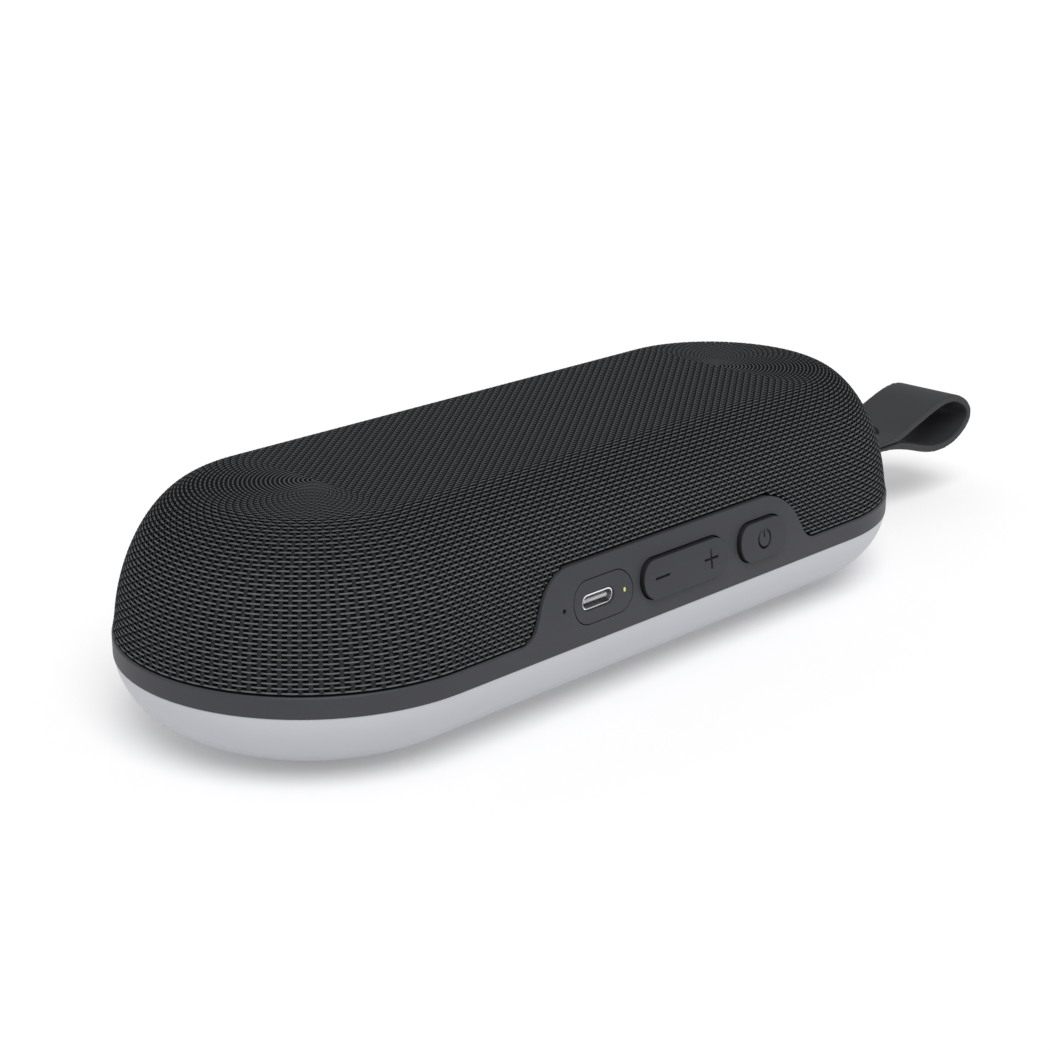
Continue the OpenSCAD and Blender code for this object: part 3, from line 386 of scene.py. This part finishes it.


def section():
    """The cloth's section as tables of length, radius, height and outward normal."""
    turn = np.linspace(0, math.pi / 2, 600)
    radius = DOME_R - DEPTH - DOME_REACH * (1 - np.cos(turn) ** (2 / DOME_POWER))
    height = HEM + (TOP - HEM - DEPTH) * np.sin(turn) ** (2 / DOME_POWER)
    radius += HEM_OUT * np.clip(1 - (height - HEM) / HEM_RISE, 0, 1) ** 2
    flat = np.linspace(radius[-1], 0, 60)[1:]
    radius = np.concatenate([radius, flat])
    height = np.concatenate([height, np.full(len(flat), height[-1])])
    length = np.concatenate([[0], np.cumsum(np.hypot(np.diff(radius), np.diff(height)))])
    radius_rate, height_rate = np.gradient(radius, length), np.gradient(height, length)
    size = np.hypot(radius_rate, height_rate)
    return length, radius, height, height_rate / size, -radius_rate / size


SECTION_LENGTHS, *SECTION_TABLES = section()
LENGTH = SECTION_LENGTHS[-1]
ROW_PITCH = (LENGTH - FIRST_ROW) / (ROWS - 0.5)  # the last row is half a pitch from the middle


def section_at(length):
    """Radius, height and outward normal of the cloth at lengths up its section."""
    return [np.interp(length, SECTION_LENGTHS, table) for table in SECTION_TABLES]


def placed(rib, length, lift):
    """Points, normals and rib pitch at a count of ribs round the body and a length up the section."""
    rib, length, lift = np.broadcast_arrays(np.mod(rib, TURN), length, lift)
    radius, height, out, up = section_at(length)
    ends = [SIDE_RIBS, SIDE_RIBS + CAP_RIBS, 2 * SIDE_RIBS + CAP_RIBS]
    zone = np.digitize(rib, ends)
    step = math.pi / CAP_RIBS
    angle = np.select(
        [zone == 0, zone == 1, zone == 2],
        [-math.pi / 2, -math.pi / 2 + (rib - ends[0]) * step, math.pi / 2],
        math.pi / 2 + (rib - ends[2]) * step)
    centre = np.select(
        [zone == 0, zone == 1, zone == 2],
        [-HALF_STRAIGHT + rib * SIDE_PITCH, HALF_STRAIGHT, HALF_STRAIGHT - (rib - ends[1]) * SIDE_PITCH],
        -HALF_STRAIGHT)
    pitch = np.where(zone % 2 == 0, SIDE_PITCH, radius * step)
    normal = np.stack([out * np.cos(angle), out * np.sin(angle), up], -1)
    point = np.stack([centre + radius * np.cos(angle), radius * np.sin(angle), height], -1)
    return point + normal * lift[..., None], normal, pitch


def outline(height, grow):
    """Half-width of the panel's outline at a height, or 0 above it."""
    corner_x, corner_z = PANEL_FLAT, PANEL_TOP - PANEL_CORNER
    side_x = corner_x + PANEL_CORNER * math.cos(PANEL_SLOPE)
    side_z = corner_z + PANEL_CORNER * math.sin(PANEL_SLOPE)
    flare_z = HEM + PANEL_FLARE
    low_z = flare_z - PANEL_FLARE * math.sin(PANEL_SLOPE)
    flare_x = side_x + (side_z - low_z) * math.tan(PANEL_SLOPE) + PANEL_FLARE * math.cos(PANEL_SLOPE)
    flare_turn = np.radians(np.linspace(270, 180 + math.degrees(PANEL_SLOPE), 30))
    corner_turn = np.linspace(PANEL_SLOPE, math.pi / 2, 60)
    flare, corner = PANEL_FLARE - grow, PANEL_CORNER + grow
    widths = np.concatenate([flare_x + flare * np.cos(flare_turn), corner_x + corner * np.cos(corner_turn)])
    heights = np.concatenate([flare_z + flare * np.sin(flare_turn), corner_z + corner * np.sin(corner_turn)])
    return np.where(height > PANEL_TOP + grow, 0, np.interp(height, heights, widths))


def wave(count):
    """The over-and-under of a yarn: 1 over one crossing and -1 under the next, held flat at each."""
    even = np.cos(math.pi * count)
    return np.sign(even) * np.abs(even) ** WAVE_POWER


def cells(columns, rows):
    """Column and row numbers of the cells of a grid."""
    return [part.ravel() for part in np.meshgrid(np.arange(columns), np.arange(rows), indexing="ij")]


def corners(column, row):
    """The corners of grid cells, in order round each cell."""
    return (column, row), (column + 1, row), (column + 1, row + 1), (column, row + 1)


def quad_mesh(name, points, faces, uvs, kinds):
    """A mesh of four-cornered faces with their texture corners and material numbers."""
    data = bpy.data.meshes.new(name)
    data.vertices.add(len(points))
    data.vertices.foreach_set("co", points.astype(np.float32).ravel())
    data.loops.add(faces.size)
    data.loops.foreach_set("vertex_index", faces.astype(np.int32).ravel())
    data.polygons.add(len(faces))
    data.polygons.foreach_set("loop_start", np.arange(0, faces.size, 4, dtype=np.int32))
    data.polygons.foreach_set("material_index", kinds.astype(np.int32))
    layer = data.uv_layers.new(name="OFBake")
    layer.uv.foreach_set("vector", uvs.astype(np.float32).ravel())
    data.update(calc_edges=True)
    data.shade_smooth()
    return data


class Yarns:
    """Collects yarns into one mesh."""

    def __init__(self):
        self.points, self.faces, self.uvs, self.kinds, self.count = [], [], [], [], 0

    def add(self, points, normals, half_width, half_thick, closed, kind, low, high):
        """One yarn as a closed tube. low and high are its strip of the texture."""
        stations = len(points)
        if closed:
            ahead = np.roll(points, -1, 0) - np.roll(points, 1, 0)
        else:
            ahead = np.gradient(points, axis=0)
        ahead /= np.linalg.norm(ahead, axis=1)[:, None]
        across = np.cross(ahead, normals)
        across /= np.linalg.norm(across, axis=1)[:, None]
        up = np.cross(across, ahead)
        turn = 2 * math.pi * (np.arange(SIDES) + 0.5) / SIDES
        wide = np.broadcast_to(half_width, stations)[:, None] * np.cos(turn)
        tall = np.broadcast_to(half_thick, stations)[:, None] * np.sin(turn)
        rings = points[:, None] + across[:, None] * wide[..., None] + up[:, None] * tall[..., None]
        spans = stations if closed else stations - 1
        around = corners(*cells(spans, SIDES))
        faces = np.stack([span % stations * SIDES + side % SIDES for span, side in around], -1)
        uvs = np.stack([np.stack([span / spans, low + (high - low) * side / SIDES], -1)
                        for span, side in around], 1)
        if not closed:
            end = (stations - 1) * SIDES
            faces = np.concatenate([faces, [
                [0, 1, 2, 3], [0, 3, 4, 5],
                [end + 3, end + 2, end + 1, end], [end + 5, end + 4, end + 3, end]]])
            square = np.array(corners(0, 0))
            spot = square * (END_SPOT, (1 - 2 * END_INSET) * (high - low))
            starts = (0, 0, 1 - 2 * END_SPOT, 1 - 2 * END_SPOT)
            uvs = np.concatenate([uvs, [spot + (start, low + END_INSET * (high - low)) for start in starts]])
        self.points.append(rings.reshape(-1, 3))
        self.faces.append(faces + self.count)
        self.uvs.append(uvs.reshape(-1, 2))
        self.kinds.append(np.full(len(faces), kind))
        self.count += stations * SIDES

    def mesh(self, name):
        parts = (self.points, self.faces, self.uvs, self.kinds)
        return quad_mesh(name, *[np.concatenate(part) for part in parts])


def add_rows(yarns):
    """The weft: closed rows round the dome, and rows that end at the panel's rim."""
    even = (np.arange(STEPS * TURN) + 0.5) / STEPS
    for row in range(ROWS):
        length = FIRST_ROW + row * ROW_PITCH
        half = float(outline(section_at(length)[1], GROW))
        rib = even
        if half > 0:
            left, right = [(HALF_STRAIGHT + PANEL_X + side * half) / SIDE_PITCH for side in (-1, 1)]
            inner = np.concatenate([even[even > right + CLEAR], even[even < left - CLEAR] + TURN])
            rib = np.concatenate([[right, right + BEND], inner, [left + TURN - BEND, left + TURN]])
        pitch = placed(rib, length, 0)[2]
        lift = WAVE * np.minimum(1, pitch / WEFT_FLAT_PITCH) * wave(rib - 0.5 + row)
        if half > 0:
            lift[[0, -1]] = TUCK
            lift[[1, -2]] = np.minimum(lift[[1, -2]], DIP)
        points, normals, _ = placed(rib, length, lift)
        low, high = row * WEFT_STRIP, (row + WEFT_FILL) * WEFT_STRIP
        yarns.add(points, normals, *WEFT_HALF, half == 0, WEFT_KIND, low, high)


def rib_start(rib):
    """Length at which a rib comes out from the hem or from the panel's rim."""
    if rib > SIDE_RIBS:
        return HEM_START
    aside = abs(-HALF_STRAIGHT + rib * SIDE_PITCH - PANEL_X)
    lengths = np.linspace(0, LENGTH / 2, 3000)
    covered = aside < outline(section_at(lengths)[1], GROW)
    return lengths[np.nonzero(covered)[0][-1]] if covered.any() else HEM_START


def rib_half(index, last):
    """Lengths and lifts of one rib from its lower end to near the middle."""
    first = rib_start(index + 0.5)
    lengths = FIRST_ROW + np.arange(0, 2 * ROWS + 1) / 2 * ROW_PITCH
    lengths = lengths[(lengths > first + RIB_CLEAR) & (lengths < last)]
    lift = -WAVE * wave(index + (lengths - FIRST_ROW) / ROW_PITCH)
    return np.concatenate([[first], lengths]), np.concatenate([[TUCK], lift])


def add_ribs(yarns):
    """The warp: ribs over the top from one straight side to the other, and round the two ends."""
    far_side = SIDE_RIBS + CAP_RIBS
    ribs = [*range(far_side), *range(far_side + SIDE_RIBS, TURN)]
    for strip, index in enumerate(ribs):
        over = index < SIDE_RIBS
        lengths, lift = rib_half(index, LENGTH if over else LENGTH - POLE_GAP)
        pitch = placed(index + 0.5, lengths, 0)[2]
        points, normals, _ = placed(index + 0.5, lengths, lift * np.minimum(1, pitch / WARP_FLAT_PITCH))
        if over:
            other = far_side + SIDE_RIBS - 1 - index
            back_lengths, back_lift = rib_half(other, LENGTH)
            back, back_normals, _ = placed(other + 0.5, back_lengths, back_lift)
            points = np.concatenate([points, back[::-1]])
            normals = np.concatenate([normals, back_normals[::-1]])
            pitch = np.full(len(points), SIDE_PITCH)
        low = WEFT_PART + strip * RIB_STRIP
        high = low + RIB_FILL * RIB_STRIP
        thick = WARP_THICK * np.minimum(1, pitch / WARP_THIN_PITCH)
        yarns.add(points, normals, WARP_SHARE * pitch / 2, thick, False, WARP_KIND, low, high)


def shade_liner_mesh(name, depth, columns, rows):
    """The thin black sheet under the yarns that paints the shade seen through the weave's holes, from the
    hem to the top's middle, left out behind the panel.
    """
    points = placed(np.arange(columns)[:, None] * TURN / columns, np.linspace(0, LENGTH, rows)[None, :],
                    np.full((1, 1), -depth))[0]
    column, row = cells(columns, rows - 1)
    middle = (points[column, row] + points[(column + 1) % columns, row + 1]) / 2
    kept = (np.abs(middle[:, 0] - PANEL_X) > outline(middle[:, 2], GROW) - SHADE_LINER_TUCK) | (middle[:, 1] > 0)
    around = corners(column[kept], row[kept])
    faces = np.stack([column % columns * rows + row for column, row in around], -1)
    uvs = np.stack([np.stack([column / columns, row / (rows - 1)], -1) for column, row in around], 1)
    return quad_mesh(name, points.reshape(-1, 3), faces, uvs, np.zeros(len(faces)))


yarns = Yarns()
add_rows(yarns)
add_ribs(yarns)
cover = add("woven_cover", yarns.mesh("woven_cover"), "housing", [WEFT, WARP],
            ("fabric_cover",))

shade_liner_data = shade_liner_mesh("cover_shade_liner", SHADE_LINER_DEPTH, TURN, SHADE_LINER_STEPS)
shade_liner = add("cover_shade_liner", shade_liner_data, "housing", [SHADE_LINER])

# ---- Camera, floor and light ----

camera = bpy.data.objects.new("camera", bpy.data.cameras.new("camera"))
bpy.context.scene.collection.objects.link(camera)
camera.location = Vector((-312.4, -303.7, 173.5)) * MM
camera.rotation_mode = "QUATERNION"
camera.rotation_quaternion = Vector((0.67596, 0.66280, -0.32215)).to_track_quat("-Z", "Y")
camera.data.lens = 73.4
camera.data.sensor_width = 36
camera.data.shift_y = -0.0022
camera.data.clip_start = 0.02
bpy.context.scene.camera = camera

floor_mesh = bpy.data.meshes.new("floor")
floor_mesh.from_pydata([(-3, -3, 0), (3, -3, 0), (3, 3, 0), (-3, 3, 0)], [], [(0, 1, 2, 3)])
floor = bpy.data.objects.new("floor", floor_mesh)
bpy.context.scene.collection.objects.link(floor)
paper = finish("floor_paper", (0.80, 0.80, 0.803), 0.9, vary=0.002, scale=3, spec=0, glow=0.25)
floor_mesh.materials.append(paper)

world = bpy.data.worlds.new("studio")
bpy.context.scene.world = world
world.use_nodes = True
world.node_tree.nodes["Background"].inputs["Color"].default_value = (1, 1, 1, 1)
world.node_tree.nodes["Background"].inputs["Strength"].default_value = 0.55
bpy.context.scene.view_settings.view_transform = "Standard"

key = bpy.data.objects.new("key_light", bpy.data.lights.new("key_light", "SUN"))
bpy.context.scene.collection.objects.link(key)
key.data.energy = 1.9
key.data.angle = math.radians(40)
key.rotation_mode = "QUATERNION"
key.rotation_quaternion = Vector((0.35, 0.6, -1.0)).to_track_quat("-Z", "Y")
